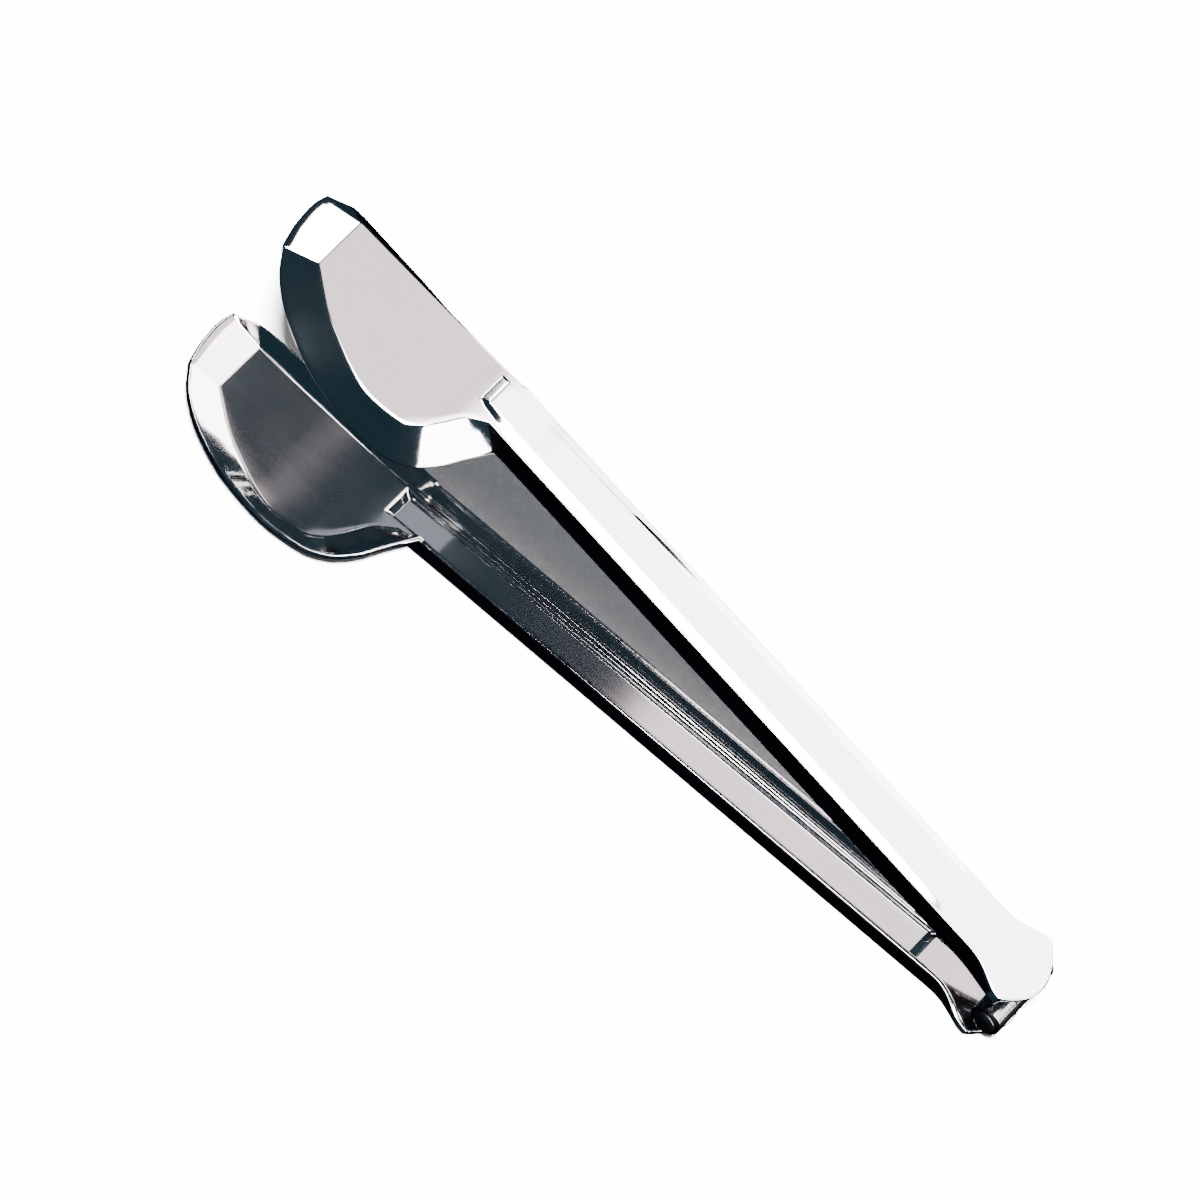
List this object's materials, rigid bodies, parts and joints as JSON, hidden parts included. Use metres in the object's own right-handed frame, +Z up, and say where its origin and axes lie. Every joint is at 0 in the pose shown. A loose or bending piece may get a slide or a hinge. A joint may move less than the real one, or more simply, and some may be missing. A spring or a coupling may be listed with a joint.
{
  "type": "ice tongs",
  "caption": "Sprung tongs for picking up ice: polished sheet-steel arms with D-shaped bowl jaws and embossed handles, joined by a barrel hinge whose torsion spring holds them open.",
  "frame": {"origin": "middle of the bottom of the bounding box, with the tongs lying open on the raised panel of the lower arm", "axes": "+Z up, -X towards the jaws, +X towards the hinge, -Y towards the side on which the jaws bulge"},
  "size_m": [0.1818, 0.0334, 0.0507],
  "materials": {
    "polished_steel": "mirror-polished stainless steel sheet",
    "barrel_steel": "turned stainless steel, bright but finer than satin",
    "pin_steel": "turned steel with riveted, slightly domed ends",
    "spring_steel": "drawn spring wire"
  },
  "bodies": {
    "lower": {"lower_arm": "polished_steel", "near_knuckle": "barrel_steel", "far_knuckle": "barrel_steel", "hinge_pin": "pin_steel", "torsion_spring": "spring_steel"},
    "upper": {"upper_arm": "polished_steel", "upper_knuckle": "barrel_steel"}
  },
  "joints": [
    {"name": "jaw_hinge", "type": "hinge", "parent": "lower", "child": "upper", "pos_m": [0.08703, 0.00745, 0.00777], "axis": [0, -1, 0], "range_deg": [0, 13.8], "stiffness_Nm_per_rad": 0.5, "springref_deg": -14.32}
  ]
}
